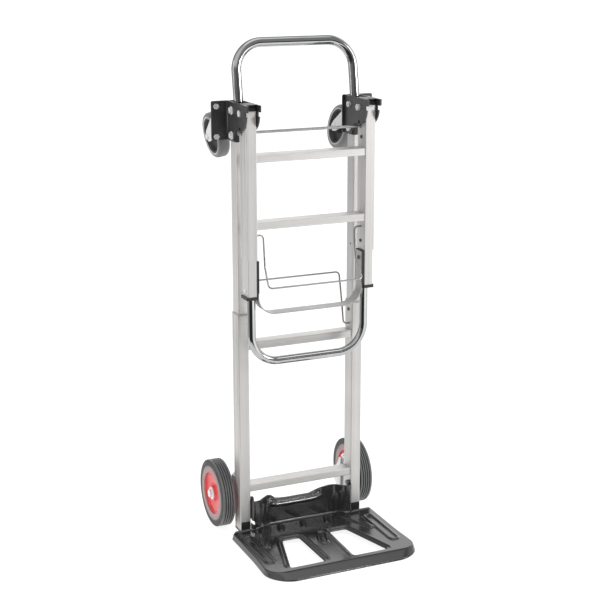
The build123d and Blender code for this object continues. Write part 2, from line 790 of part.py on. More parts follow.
tyre_side = [
    (cast_half - 1.0, cast_rim_r),
    (cast_half, cast_rim_r + 2.0),
    (cast_half - 1.0, cast_r - 3.5),
    (cast_half - 4.0, cast_r - 0.9),
    (cast_half - 8.0, cast_r),
]
caster_tyre = spin_about_x(tyre_side + [(-px, pr) for px, pr in reversed(tyre_side)], cast_x, cast_y, cast_z)
caster_tyre = turned(caster_tyre)
save("caster_tyre_right", caster_tyre)
save("caster_tyre_left", across(caster_tyre))

rim_side = [
    (cast_half - 1.0, cast_rim_r),
    (cast_half - 2.0, cast_rim_r - 3.5),
    (4.0, cast_rim_r - 7.0),
    (4.0, 15.0),
    (fork_half - 1.0, 11.0),
    (fork_half - 0.5, cast_axle_r + run_gap),
]
caster_rim = spin_about_x(rim_side + [(-px, pr) for px, pr in reversed(rim_side)], cast_x, cast_y, cast_z)
caster_rim = turned(caster_rim)
save("caster_rim_right", caster_rim)
save("caster_rim_left", across(caster_rim))


# Front frame
def front_tube():
    tube = box_tube(gap_mid, front_y, front_z0, front_z1, front_w, front_d, front_wall, 2.0)
    out = gap_mid + front_w / 2
    for share in (-0.25, 0.25):
        y0 = front_y + front_d * share - groove_w / 2
        tube -= block(out - groove_d, out + 1, y0, y0 + groove_w, front_z0 - 1, front_z1 + 1)
    tube -= rod_along_x(gap_in, gap_out, swing_y, swing_z, swing_r + run_gap)
    low = rod_z - rod_out
    high = rod_z + rod_in
    tube -= block(gap_in, gap_out, swing_y - rod_r - 0.35, swing_y + rod_r + 0.35, low, high)
    for z in (low, high):
        tube -= rod_along_x(gap_in, gap_out, swing_y, z, rod_r + 0.35)
    tube -= rod_along_x(gap_in, gap_mid, front_y, push_wire_z, wire_r + run_gap)
    for z in front_rivets_z:
        tube -= rod_along_x(gap_in, gap_mid, front_y, z, 2.4)
    return tube


right = front_tube()
save("front_tube_right", right)
save("front_tube_left", across(right))

save(
    "front_rung_top",
    cross_tube(front_in, front_y, front_rung_high, front_rung_d, front_rung_h, front_wall, 1.8),
)
save(
    "front_rung_bottom",
    cross_tube(front_in, front_y, front_rung_low, front_rung_d, front_rung_h, front_wall, 1.8),
)

hinge_block = post(gap_mid, front_y, front_z1, brk_z1, front_w, front_d, 2.0)
block_w = front_w - 2 * front_wall - 0.1
block_d = front_d - 2 * front_wall - 0.1
hinge_block += post(gap_mid, front_y, rod_z + 22, front_z1, block_w, block_d, 1.2)
hinge_block -= block(gap_in, gap_out, -70, front_y - front_d / 2 + 3, brk_z1 - 6, brk_z1 - 3)
hinge_block -= rod_along_x(gap_in - 1, gap_out + 1, swing_y, swing_z, swing_r + run_gap)
save("hinge_blocks", hinge_block, across(hinge_block))

front_rivets = []
for z in front_rivets_z:
    rivet = rod_along_x(front_in - 2, front_in, front_y, z, 3.8)
    rivet += rod_along_x(front_in, front_in + front_wall, front_y, z, 2.4)
    front_rivets.append(rivet)
    front_rivets.append(across(rivet))
save("front_rivets", *front_rivets)

lock_rod = rod_along_x(-rod_end, rod_end, swing_y, rod_z, rod_r)
lock_rod += rod_along_x(rod_end, rod_end + 2.5, swing_y, rod_z, 5.0)
lock_rod += rod_along_x(-rod_end - 2.5, -rod_end, swing_y, rod_z, 5.0)
save("lock_rod", lock_rod)


# Push handle
def push_tube():
    tube = box_tube(gap_mid, front_y, push_z0, push_z1, push_w, push_d, push_wall, 1.6)
    for z in (push_wire_z, push_wire_z + push_travel):
        tube -= rod_along_x(gap_in, gap_mid, front_y, z, wire_r + 0.5)
    tube -= rod_along_x(gap_in - 5, gap_mid, front_y, band_rivet_z, bolt_r)
    tube -= rod_along_x(gap_mid, gap_out, front_y, cuff_screw_z, bolt_r)
    return tube


right = push_tube()
save("push_tube_right", right)
save("push_tube_left", across(right))

loop_path = FilletPolyline(
    (-loop_x, front_y, loop_top),
    (-loop_x, front_y, loop_z),
    (loop_x, front_y, loop_z),
    (loop_x, front_y, loop_top),
    radius=loop_corner,
)
loop_start = Plane(origin=loop_path @ 0, z_dir=loop_path % 0)
loop = sweep(loop_start * Circle(loop_r), path=loop_path)
loop -= sweep(loop_start * Circle(loop_r - loop_wall), path=loop_path)
for side in (-1, 1):
    spigot = rod_along_z(side * loop_x, front_y, loop_top, spigot_top, spigot_r)
    spigot -= rod_along_z(side * loop_x, front_y, loop_top - 1, spigot_top + 1, spigot_r - loop_wall)
    ring = rod_along_z(side * loop_x, front_y, loop_top - 2, loop_top, loop_r - 0.5)
    ring -= rod_along_z(side * loop_x, front_y, loop_top - 3, loop_top + 1, spigot_r - loop_wall)
    loop += ring
    loop += spigot
save("push_loop", loop)


# Flat band brace, bent to a U
def band_outline(edge, low, corner):
    rise = band_top - low
    face = Plane.XZ.offset(-band_y0) * Pos(0, band_top) * RectangleRounded(2 * edge, 2 * rise, corner)
    keep = block(-cut_reach, cut_reach, band_y0 - 5, band_y1 + 5, low - 1, band_top)
    return extrude(face, amount=-(band_y1 - band_y0)) & keep


band = band_outline(band_out, band_low, band_corner)
band -= band_outline(band_in, band_low + band_t, band_corner - band_t)
for side in (-1, 1):
    band -= rod_along_x(side * band_out - 8, side * band_out + 8, front_y, band_rivet_z, bolt_r)
save("band_brace", band)

# Plastic cuffs join the inner tubes and the loop, each with a channel that holds the band
cuff = post(gap_mid, front_y, cuff_z0, cuff_z1, cuff_w, cuff_d, 3.0)
plug_w = push_w - 2 * push_wall - 0.2
plug_d = push_d - 2 * push_wall - 0.2
cuff += post(gap_mid, front_y, cuff_z1, cuff_z1 + cuff_plug, plug_w, plug_d, 0.8)
cuff += block(band_out + 0.2, push_in, band_y0 - sleeve_rim, band_y1 + sleeve_rim, cuff_z0, sleeve_z1)
sleeve = block(band_in, push_in, band_y0 - sleeve_rim, band_y1 + sleeve_rim, sleeve_z0, sleeve_z1)
cuff += sleeve - block(band_in - 1, band_out, band_y0, band_y1, sleeve_z0 - 1, band_top)
cuff -= rod_along_z(loop_x, front_y, cuff_z0 - 1, loop_top, loop_r)
cuff -= rod_along_z(loop_x, front_y, cuff_z0 - 1, spigot_top, spigot_r)
cuff -= rod_along_x(band_in - 1, push_in + 1, front_y, band_rivet_z, bolt_r)
cuff -= rod_along_x(push_out - 8, push_out + 1, front_y, cuff_screw_z, bolt_r)
save("push_cuffs", cuff, across(cuff))

band_rivet = rod_along_x(band_in - 2, band_in, front_y, band_rivet_z, 4.5)
band_rivet += rod_along_x(band_in, push_in + push_wall, front_y, band_rivet_z, bolt_r)
save("band_rivets", band_rivet, across(band_rivet))

cuff_screw = rod_along_x(push_out, push_out + 1.5, front_y, cuff_screw_z, 4.0)
cuff_screw += rod_along_x(push_out - 6, push_out, front_y, cuff_screw_z, bolt_r)
save("cuff_screws", cuff_screw, across(cuff_screw))


# Spring wires, each with its ends in the tubes
def spring_wire(end, half, shift):
    left = [(shift - x, y, z) for x, y, z in half]
    right = [(shift + x, y, z) for x, y, z in reversed(half)]
    x, y, z = end
    return bent_wire([(-x, y, z)] + left + right + [end], wire_bend, wire_r)


push_wire = spring_wire(
    (front_in + front_wall - 0.1, front_y, push_wire_z),
    [
        (push_wire_x, front_y, push_wire_z),
        (push_wire_x, front_y - 0.23 * push_wire_out, push_wire_z - 0.64 * push_wire_drop),
        (push_wire_low_x, front_y - push_wire_out, push_wire_z - push_wire_drop),
    ],
    push_wire_shift,
)
save("push_lock_wire", push_wire)

frame_wire = spring_wire(
    (low_in + low_wall - 0.1, frame_wire_y, frame_wire_z),
    [
        (frame_wire_x, frame_wire_y, frame_wire_z),
        (frame_wire_x - 1.5, frame_wire_y + 0.36 * frame_wire_back, frame_wire_z + 0.47 * frame_wire_rise),
        (frame_wire_x - 2, frame_wire_y + frame_wire_back, frame_wire_z + frame_wire_rise),
    ],
    frame_wire_shift,
)
save("frame_lock_wire", frame_wire)
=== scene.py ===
"""Looks of a folding hand truck: materials, finer shapes for five pieces, floor, light and camera."""

import json
import math

import bmesh
import bpy
import numpy as np
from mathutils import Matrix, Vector
from mathutils.geometry import delaunay_2d_cdt


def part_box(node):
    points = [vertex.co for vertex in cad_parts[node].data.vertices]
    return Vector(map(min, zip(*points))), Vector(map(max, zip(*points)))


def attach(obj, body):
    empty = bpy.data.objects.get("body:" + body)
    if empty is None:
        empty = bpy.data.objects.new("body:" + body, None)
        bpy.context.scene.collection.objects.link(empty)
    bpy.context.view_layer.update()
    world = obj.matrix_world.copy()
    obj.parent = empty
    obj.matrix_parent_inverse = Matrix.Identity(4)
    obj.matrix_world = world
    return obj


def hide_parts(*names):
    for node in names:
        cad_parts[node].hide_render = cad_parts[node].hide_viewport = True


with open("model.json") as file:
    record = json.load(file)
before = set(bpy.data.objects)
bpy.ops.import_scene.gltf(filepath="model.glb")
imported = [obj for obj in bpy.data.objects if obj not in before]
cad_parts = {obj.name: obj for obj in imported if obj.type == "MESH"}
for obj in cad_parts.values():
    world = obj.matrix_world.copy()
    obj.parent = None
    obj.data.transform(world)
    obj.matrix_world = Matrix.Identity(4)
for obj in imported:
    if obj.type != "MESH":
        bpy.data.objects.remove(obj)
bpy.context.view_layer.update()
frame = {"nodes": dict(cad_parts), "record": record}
nodes = frame["nodes"]
scene = bpy.context.scene

# Pieces are drawn in millimetres in the source's frame, and y_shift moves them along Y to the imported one
mm = 0.001
toe_low, toe_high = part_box("toe_plate")
toe_front = -270.0
y_shift = toe_low.y / mm - toe_front


def box_mm(node):
    """Low and high corner of a CAD node's box, in the source's frame."""
    return [np.array(corner) / mm - (0.0, y_shift, 0.0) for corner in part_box(node)]


# Node helpers
class Graph:
    """A node tree with short calls for the nodes in it."""

    def __init__(self, tree, space):
        self.tree = tree
        self.place = tree.nodes.new("ShaderNodeTexCoord").outputs[space]

    def node(self, kind, values=None, **settings):
        made = self.tree.nodes.new(kind)
        for key, value in settings.items():
            setattr(made, key, value)
        for key, value in (values or {}).items():
            if isinstance(value, bpy.types.NodeSocket):
                self.tree.links.new(value, made.inputs[key])
            else:
                made.inputs[key].default_value = value
        return made

    def math(self, operation, first, second):
        made = self.node("ShaderNodeMath", {0: first, 1: second}, operation=operation)
        return made.outputs["Value"]

    def dot(self, vector, way):
        made = self.node("ShaderNodeVectorMath", {0: vector, 1: way}, operation="DOT_PRODUCT")
        return made.outputs["Value"]

    def length(self, vector):
        return self.node("ShaderNodeVectorMath", {0: vector}, operation="LENGTH").outputs["Value"]

    def unit(self, vector):
        return self.node("ShaderNodeVectorMath", {0: vector}, operation="NORMALIZE").outputs["Vector"]

    def direct(self):
        """One where a surface is seen itself, and nought in reflections and lighting."""
        return self.node("ShaderNodeLightPath").outputs["Is Camera Ray"]

    def between(self, factor, start, end, low, high, kind):
        """Change from low to high, of the given kind, while the factor goes from start to end."""
        made = self.node(
            "ShaderNodeMapRange",
            {"Value": factor, "From Min": start, "From Max": end, "To Min": low, "To Max": high},
            interpolation_type=kind,
        )
        return made.outputs["Result"]

    def step(self, factor, start, end, low=0.0, high=1.0):
        """Change that starts and ends smoothly."""
        return self.between(factor, start, end, low, high, "SMOOTHSTEP")

    def spread(self, factor, low, high, start=0.3, end=0.7):
        """Even change."""
        return self.between(factor, start, end, low, high, "LINEAR")

    def toward(self, vector, way, start, end, low=0.0, high=1.0):
        """Smooth change from low to high with how far a vector reaches in a given way."""
        return self.step(self.dot(vector, way), start, end, low, high)


class Recipe(Graph):
    """A material with its shader and short calls for the nodes that feed it."""

    def __init__(self, name):
        self.mat = bpy.data.materials.new(name)
        self.mat.use_nodes = True
        super().__init__(self.mat.node_tree, "Object")
        self.shader = self.tree.nodes["Principled BSDF"]

    def put(self, socket, value):
        self.shader.inputs[socket].default_value = value

    def link(self, source, socket):
        self.tree.links.new(source, self.shader.inputs[socket])

    def moved(self, location=(0.0, 0.0, 0.0), scale=(1.0, 1.0, 1.0)):
        """Object coordinates, scaled and then moved."""
        values = {"Vector": self.place, "Location": location, "Scale": scale}
        return self.node("ShaderNodeMapping", values).outputs["Vector"]

    def noise(self, scale, detail=3.0, rough=0.55, stretch=None):
        vector = self.moved(scale=stretch) if stretch else self.place
        values = {"Vector": vector, "Scale": scale, "Detail": detail, "Roughness": rough}
        return self.node("ShaderNodeTexNoise", values).outputs["Fac"]

    def ramp(self, factor, stops):
        made = self.node("ShaderNodeValToRGB", {"Fac": factor})
        ends = made.color_ramp.elements
        while len(ends) < len(stops):
            ends.new(0.5)
        for element, (at, colour) in zip(ends, stops):
            element.position = at
            element.color = (*colour, 1.0)
        return made.outputs["Color"]

    def clouded(self, cloud, dark, light):
        """Base colour that wanders between two tones."""
        self.link(self.ramp(cloud, [(0.3, dark), (0.7, light)]), "Base Color")

    def bump(self, height, strength, depth):
        made = self.node("ShaderNodeBump", {"Height": height, "Strength": strength, "Distance": depth})
        self.link(made.outputs["Normal"], "Normal")


# Materials
def grey(value):
    """A grey with a trace of blue."""
    return (value, value, value * 1.02)


def aluminium(name, axis, tone=1.0):
    """Satin drawn tube with lines along the given axis."""
    m = Recipe(name)
    stretch = [1.0, 1.0, 1.0]
    stretch[axis] = 0.006
    lines = m.noise(scale=170.0, detail=4.0, rough=0.7, stretch=stretch)
    cloud = m.noise(scale=14.0, detail=3.0, rough=0.5)
    dark = (0.60 * tone, 0.59 * tone, 0.575 * tone)
    light = (0.73 * tone, 0.72 * tone, 0.705 * tone)
    m.clouded(lines, dark, light)
    m.link(m.spread(cloud, 0.44, 0.54), "Roughness")
    m.put("Metallic", 0.65)
    m.bump(lines, strength=0.15, depth=0.0006)
    return m.mat


def chrome(name):
    """Polished plating with a faint cloud in it."""
    m = Recipe(name)
    dark = (0.42, 0.423, 0.427)
    light = (0.48, 0.484, 0.488)
    m.clouded(m.noise(scale=30.0, detail=4.0, rough=0.6), dark, light)
    m.link(m.spread(m.noise(scale=160.0, detail=4.0, rough=0.7), 0.05, 0.075), "Roughness")
    m.put("Metallic", 1.0)
    return m.mat


def painted(name, dark, light, rough, ior):
    """Sprayed paint with a fine grain."""
    m = Recipe(name)
    cloud = m.noise(scale=22.0, detail=4.0, rough=0.6)
    m.clouded(cloud, dark, light)
    m.link(m.spread(cloud, rough - 0.04, rough + 0.05), "Roughness")
    m.put("IOR", ior)
    m.bump(m.noise(scale=1500.0, detail=2.0, rough=0.5), strength=0.1, depth=0.0003)
    return m.mat


def zinc(name, dark, light, shine):
    """Zinc plating, more like bare metal the higher its shine."""
    m = Recipe(name)
    cloud = m.noise(scale=120.0, detail=5.0, rough=0.65)
    m.clouded(cloud, dark, light)
    m.link(m.spread(cloud, 0.26, 0.42), "Roughness")
    m.put("Metallic", shine)
    m.bump(m.noise(scale=800.0, detail=2.0), strength=0.08, depth=0.0002)
    return m.mat


def plastic(name, dark, light, rough, coat=0.0):
    """Moulded plastic with a fine grain."""
    m = Recipe(name)
    cloud = m.noise(scale=45.0, detail=3.0, rough=0.5)
    m.clouded(cloud, dark, light)
    m.link(m.spread(cloud, rough - 0.04, rough + 0.05), "Roughness")
    m.put("Coat Weight", coat)
    m.bump(m.noise(scale=2200.0, detail=2.0), strength=0.1, depth=0.0002)
    return m.mat


def rubber(name, axes, inner, outer, tone_jitter, tones, rough):
    """Rubber with tones that go by the distance from the wheel's centre, measured along the given axes."""
    m = Recipe(name)
    low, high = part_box(name)
    centre = (low + high) / 2
    location = [-place * axis for place, axis in zip(centre, axes)]
    unsteady = m.spread(m.noise(scale=90.0, detail=4.0), -tone_jitter, tone_jitter)
    distance = m.math("ADD", m.length(m.moved(location, axes)), unsteady)
    m.link(m.ramp(m.spread(distance, 0.0, 1.0, inner, outer), tones), "Base Color")
    m.link(m.spread(m.noise(scale=60.0, detail=5.0, rough=0.65), *rough), "Roughness")
    m.bump(m.noise(scale=1200.0, detail=3.0), strength=0.2, depth=0.0003)
    return m.mat


def tyre(name):
    """Black tread with a painted sheen on the rib tops, and a paler pinkish ring on the sidewall next to
    the hub that is a painted highlight with a painted reflection of the hub's red.
    """
    # Painted highlight: the pale pinkish ring stands for light on the curved sidewall, with the hub's red
    # reflected in it
    ring = [(0.0, (0.56, 0.29, 0.28)), (0.25, (0.46, 0.29, 0.285)), (0.5, (0.38, 0.30, 0.30))]
    # Painted sheen: the last stop lightens the rib tops
    tread = [(0.6, grey(0.03)), (0.92, grey(0.02)), (0.965, grey(0.16))]
    tones = ring + tread
    across = (0.0, 1.0, 1.0)
    return rubber(name, across, inner=0.045, outer=0.0805, tone_jitter=0.0006, tones=tones, rough=(0.42, 0.58))


def caster_tyre(name):
    """Grey tread with a pale edge next to the rim that is a painted highlight."""
    # Painted highlight: the two pale stops next to the rim
    tones = [(0.0, grey(0.62)), (0.25, grey(0.55)), (0.42, grey(0.24)), (0.8, grey(0.17))]
    every_way = (1.0, 1.0, 1.0)
    return rubber(name, every_way, inner=0.041, outer=0.053, tone_jitter=0.0005, tones=tones, rough=(0.36, 0.52))


looks = {
    "tube_upright": aluminium("tube_upright", axis=2),
    "tube_across": aluminium("tube_across", axis=0),
    # The band's lower tone is painted shade, set for how light falls on the strip
    "band": aluminium("band", axis=0, tone=0.7),
    "chrome": chrome("chrome"),
    "black_paint": painted("black_paint", grey(0.040), grey(0.055), rough=0.32, ior=1.6),
    "toe_paint": painted("toe_paint", grey(0.012), grey(0.019), rough=0.16, ior=1.75),
    "zinc": zinc("zinc", grey(0.84), grey(0.95), shine=0.25),
    "wire": zinc("wire", grey(0.36), grey(0.46), shine=1.0),
    "hub_red": plastic("hub_red", (0.80, 0.035, 0.04), (0.92, 0.06, 0.065), rough=0.3, coat=0.3),
    "plastic_black": plastic("plastic_black", grey(0.015), grey(0.028), rough=0.42),
    "plastic_grey": plastic("plastic_grey", grey(0.42), grey(0.50), rough=0.45),
    "rim_dark": plastic("rim_dark", grey(0.03), grey(0.05), rough=0.45),
}
for word in ("left", "right"):
    looks[f"tyre_{word}"] = tyre(f"tyre_{word}")
    looks[f"caster_tyre_{word}"] = caster_tyre(f"caster_tyre_{word}")

slots = {row["node"]: row["material_slot"] for row in frame["record"]["subparts"]}


def look_of(name):
    """Name of the look that a CAD node gets."""
    if "tyre_" in name:
        return name
    if name.startswith("caster_rim"):
        return "rim_dark"
    if name.endswith("_wire") or name == "lock_rod":
        return "wire"
    if slots[name] != "aluminium":
        return slots[name]
    if "rung" in name:
        return "tube_across"
    return "band" if "band" in name else "tube_upright"


# Pieces
edge_round = 0.6
weld_gap = 0.01


def soften(piece):
    """Rounds the sharp edges of a piece."""
    joined = piece.modifiers.new("joined", "WELD")
    joined.merge_threshold = weld_gap * mm
    edge = piece.modifiers.new("edge", "BEVEL")
    edge.width = edge_round * mm
    edge.segments = 2
    edge.limit_method = "ANGLE"
    edge.angle_limit = math.radians(40.0)
    edge.harden_normals = True


for name, node in nodes.items():
    node.data.materials.clear()
    node.data.materials.append(looks[look_of(name)])
    if slots[name] == "black_paint" and name != "toe_plate":
        soften(node)


def add_piece(mesh, body, look, replaced):
    """A piece with its mesh's name, which rides on a body and stands for a CAD node."""
    piece = bpy.data.objects.new(mesh.name, mesh)
    scene.collection.objects.link(piece)
    mesh.materials.append(looks[look])
    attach(piece, body)
    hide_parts(replaced)
    return piece


# Toe plate: one pressed sheet, drawn flat as X and a length T that runs over the pan and up the upright
toe_half = toe_high.x / mm
toe_back = -5.0
toe_top = 16.0
toe_sheet = 2.5
pan_spot_y = -210.0
join_gap = 0.02

# Lip round the pan: a rounded crease, and a slope down to its foot
lip_edge = 2.1
front_run = 23.5
side_run = 3.5
crease_in = 2.5
crease_share = 0.24
crease_rounds = (34.0, 8.5)
foot_rounds = (60.0, 12.0)
flare = 0.018
flare_start = -130.0
flare_run = 100.0
wing_x = 129.4

# Upright: a bend, a middle that stands further back than its ends, and a top edge given as X and height
bend_r = 6.0
bend_long = bend_r * math.pi / 2
bend_top = toe_top + bend_r
upright_mid_y = 1.0
upright_end_y = -12.0
upright_step_x = 80.0
upright_step_run = 32.0
end_bend = upright_end_y - bend_r
end_foot = end_bend + bend_long
brow_top = 77.0
lobe_end = 85.5
crest_line = (
    (-129.0, lobe_end),
    (-115.0, lobe_end),
    (-102.0, 89.0),
    (-87.0, 90.5),
    (-76.0, 87.5),
    (-66.0, 79.0),
    (-40.0, brow_top),
    (20.0, brow_top),
    (34.0, 80.0),
    (50.0, 86.5),
    (70.0, 89.3),
    (90.0, 88.5),
    (115.0, lobe_end),
    (129.0, lobe_end),
)

# Brow along the middle of the upright, given as height and how far it stands off
brow_left = -94.0
brow_left_run = 22.0
brow_right = 56.0
brow_right_run = 20.0
brow_follow = 0.35
brow_line = (
    (55.5, 0.0),
    (58.0, 2.2),
    (60.5, 5.0),
    (62.5, 6.4),
    (64.0, 6.6),
    (65.0, 6.2),
    (68.0, 4.5),
    (69.3, 2.2),
    (71.3, 2.0),
    (brow_top, -3.4),
    (90.0, -3.4),
)

# Ears: the ends of the upright bend back to the pivots, with a lower edge given as Y and height
_, pivot_y, pivot_z = np.mean(box_mm("toe_pivot_pins"), 0)
ear_out = 128.8
ear_bend = 7.0
ear_x = ear_out - ear_bend
ear_corner_y = upright_end_y + ear_bend
ear_r = 10.0
ear_end = 0.3
ear_rise = 2.0
ear_low_line = (
    (upright_end_y, bend_top),
    (upright_end_y + 0.2, 29.0),
    (upright_end_y + 0.7, 36.0),
    (ear_corner_y, 37.0),
    (5.0, 39.0),
    (16.5, 81.0),
)
ear_gap_in = 0.6
ear_gap_long = 4.8
curb_long = 9.0
curb_low = toe_top - toe_sheet
curb_top = 27.0

# Windows, measured from the middle of the pressing
press_x = -8.0
window_back = -91.5
window_front = -229.0
window_in = (39.5, 36.5)
window_out = (80.0, 118.5)
window_round = 6.0
window_drop = 3.4
window_drop_run = 5.0
window_bead_gap = 10.5
window_bead_high = 3.6
window_bead_lead = 2.0
window_bead_fade = 12.0

# Other pressed forms: places as X and T, heights and half widths
bead_half = 5.5
loop_x = 154.5
loop_back = -54.0
loop_front = -184.0
loop_r = 10.0
loop_high = 3.8
tongue_back = (97.0, -16.0)
tongue_front = (134.0, -112.0)
tongue_half = 6.0
tongue_widening = 6.0
tongue_widens_from = -120.0
tongue_widens_over = 110.0
tongue_edge = 6.0
tongue_high = 4.0
rib_places = (87.0, 100.0)
rib_low = 6.0
rib_top = 52.0
rib_half = 4.5
rib_high = 3.0
drop_back = (7.5, -97.0)
drop_front = (-5.0, -138.0)
drop_r = 9.5
drop_half = 5.0
drop_high = 4.2
swage_places = (-62.0, -5.0, 55.0)
swage_back = -17.0
swage_front = -44.0
swage_lean = 9.0
swage_half = 8.0
swage_high = 3.2

# Steps of the drawing's grid, and points along its outlines
grid = 2.0
fine_grid = 1.0
edge_clear = 0.6
wing_count = 20
rear_count = 10
side_count = 90
corner_count = 24
front_count = 130
window_corner_count = 7
bend_count = 7
upright_count = 40
crest_count = 250
crease_count = 8
slope_count = 6
ear_bend_count = 9
ear_long_count = 15
curb_count = 8


def smooth(value):
    value = np.clip(value, 0.0, 1.0)
    return value * value * (3.0 - 2.0 * value)


def ridge(distance, half_width):
    """Rounded cross section, one on the line and nought at half_width from it."""
    return 0.5 + 0.5 * np.cos(np.pi * np.clip(np.abs(distance) / half_width, 0.0, 1.0))


def on_line(x, line):
    """Value at x of a line through pairs."""
    return np.interp(x, *zip(*line))


def from_line(x, y, start, end):
    """Distance from the stretch between two points."""
    ax, ay = start
    bx, by = end
    long = (bx - ax) ** 2 + (by - ay) ** 2
    share = np.clip(((x - ax) * (bx - ax) + (y - ay) * (by - ay)) / long, 0.0, 1.0)
    return np.hypot(x - ax - share * (bx - ax), y - ay - share * (by - ay))


def from_loop(points, loop):
    """Distance from a closed outline."""
    nearest = np.full(len(points), np.inf)
    for start, end in zip(loop, np.roll(loop, -1, 0)):
        nearest = np.minimum(nearest, from_line(points[:, 0], points[:, 1], start, end))
    return nearest


def inside(points, loop):
    """Which points lie in a closed outline."""
    x, y = points[:, 0], points[:, 1]
    found = np.zeros(len(points), bool)
    for (ax, ay), (bx, by) in zip(loop, np.roll(loop, -1, 0)):
        if ay != by:
            crossing = (ay > y) != (by > y)
            found ^= crossing & (x < (bx - ax) * (y - ay) / (by - ay) + ax)
    return found


def grid_faces(rows, columns, first):
    """Quads between neighbouring rows of points."""
    faces = []
    for row in range(rows - 1):
        for column in range(columns - 1):
            a = first + row * columns + column
            faces.append((a, a + 1, a + columns + 1, a + columns))
    return faces


def upright_y(x):
    """Y of the upright's front face."""
    ahead = smooth((np.abs(x) - upright_step_x) / upright_step_run)
    return upright_mid_y + (upright_end_y - upright_mid_y) * ahead


def crest(x):
    """Height of the upright's top edge."""
    return on_line(x, crest_line)


def brow(x, z):
    """Stand of the brow: a nose with a sloped top, a groove, and an edge that leans back."""
    along = smooth((x - brow_left) / brow_left_run) * smooth((brow_right - x) / brow_right_run)
    level = z - brow_follow * (crest(x) - brow_top)
    return along * on_line(level, brow_line)


def arc(cx, cy, r, start, end, count):
    turn = np.radians(np.linspace(start, end, count, endpoint=False))
    return np.stack([cx + r * np.cos(turn), cy + r * np.sin(turn)], 1)


def run(start, end, count):
    return np.linspace(start, end, count, endpoint=False)


def pan_outline(half, front, back, front_round, rear_round):
    """Open outline of the pan, from the left wing round the front to the right wing."""
    front_x = half - front_round
    front_y = front + front_round
    rear_x = half - rear_round
    rear_y = back - rear_round
    rows = [
        run((-wing_x, back), (-rear_x, back), wing_count),
        arc(-rear_x, rear_y, rear_round, 90, 180, rear_count),
        run((-half, rear_y), (-half, front_y), side_count),
        arc(-front_x, front_y, front_round, 180, 270, corner_count),
        run((-front_x, front), (front_x, front), front_count),
        arc(front_x, front_y, front_round, 270, 360, corner_count),
        run((half, front_y), (half, rear_y), side_count),
        arc(rear_x, rear_y, rear_round, 0, 90, rear_count),
        np.linspace((rear_x, back), (wing_x, back), wing_count),
    ]
    points = np.concatenate(rows)
    points[:, 0] *= 1.0 + flare * smooth((flare_start - points[:, 1]) / flare_run)
    return points


def window_loop(side):
    """Closed outline of a window with rounded corners."""
    corners = [
        Vector((press_x + side * window_in[0], window_back)),
        Vector((press_x + side * window_out[0], window_back)),
        Vector((press_x + side * window_out[1], window_front)),
        Vector((press_x + side * window_in[1], window_front)),
    ]
    points = []
    for i, corner in enumerate(corners):
        before = (corners[i - 1] - corner).normalized() * window_round
        after = (corners[(i + 1) % 4] - corner).normalized() * window_round
        for t in np.linspace(0, 1, window_corner_count):
            points.append(corner + before * (1 - t) ** 2 + after * t**2)
        gap = (corners[(i + 1) % 4] - corner).length - 2 * window_round
        count = int(gap / grid)
        for k in range(1, count):
            points.append(corner + after + after.normalized() * gap * k / count)
    return np.array([tuple(p) for p in points])


def pressed_height(x, t, windows):
    """How far the pressed forms stand off the flat sheet."""
    points = np.stack([x, t], 1)
    edges = [from_loop(points, window) for window in windows]
    middle = press_x / 2
    forms = []
    for side, edge in zip((-1, 1), edges):
        loop = middle + side * loop_x
        loop_line = from_line(x, t, (loop, loop_back), (loop, loop_front))
        forms.append(loop_high * ridge(loop_line - loop_r, bead_half))
        fade = smooth((t - window_front + window_bead_lead) / window_bead_fade)
        forms.append(window_bead_high * ridge(edge - window_bead_gap, bead_half) * fade)
        ends = [(middle + side * end_x, end_t) for end_x, end_t in (tongue_back, tongue_front)]
        widens = np.clip((t - tongue_widens_from) / tongue_widens_over, 0.0, 1.0)
        reach = tongue_half + tongue_widening * widens + tongue_edge / 2
        forms.append(tongue_high * smooth((reach - from_line(x, t, *ends)) / tongue_edge))
        for place in rib_places:
            rib = from_line(x, t, (side * place, end_foot + rib_low), (side * place, end_foot + rib_top))
            forms.append(rib_high * ridge(rib, rib_half))
    drop = from_line(x, t, drop_back, drop_front)
    forms.append(drop_high * ridge(drop - drop_r, drop_half))
    for place in swage_places:
        swage = from_line(x, t, (place, swage_back), (place - swage_lean, swage_front))
        forms.append(swage_high * ridge(swage, swage_half))
    high = np.maximum.reduce(forms)
    for edge in edges:
        high -= window_drop * (1.0 - np.clip(edge / window_drop_run, 0.0, 1.0)) ** 2
    return high


def fold(x, t, high):
    """Places points of the flat drawing on the folded sheet."""
    start = upright_y(x) - bend_r
    turn = np.clip((t - start) / bend_r, 0.0, math.pi / 2)
    rise = np.maximum(t - start - bend_long, 0.0)
    y = np.minimum(t, start) + bend_r * np.sin(turn)
    z = toe_top + bend_r * (1.0 - np.cos(turn)) + rise
    total = high + np.where(rise > 0.0, brow(x, z), 0.0)
    return np.stack([x, y - total * np.sin(turn), z + total * np.cos(turn)], 1)


def upright_rows():
    """Heights up the side edge of the upright, from its bend to its top, shared with the ear."""
    return np.linspace(bend_top, crest(ear_x), upright_count)


def toe_edge(rim):
    """Closed outline of the flat drawing: the pan's rim, then the upright's sides and top."""
    gap = np.array([(wing_x, end_bend + ear_gap_long), (ear_x + ear_gap_in, end_bend + ear_gap_long)])
    bend = run((ear_x, end_bend), (ear_x, end_foot), bend_count)
    rows = end_foot + upright_rows() - bend_top
    side = np.concatenate([gap, bend, np.stack([np.full(len(rows), ear_x), rows], 1)])
    across = np.linspace(ear_x, -ear_x, crest_count)[1:-1]
    top = upright_y(across) - bend_r + bend_long + crest(across) - bend_top
    return np.concatenate([rim, side, np.stack([across, top], 1), side[::-1] * (-1, 1)])


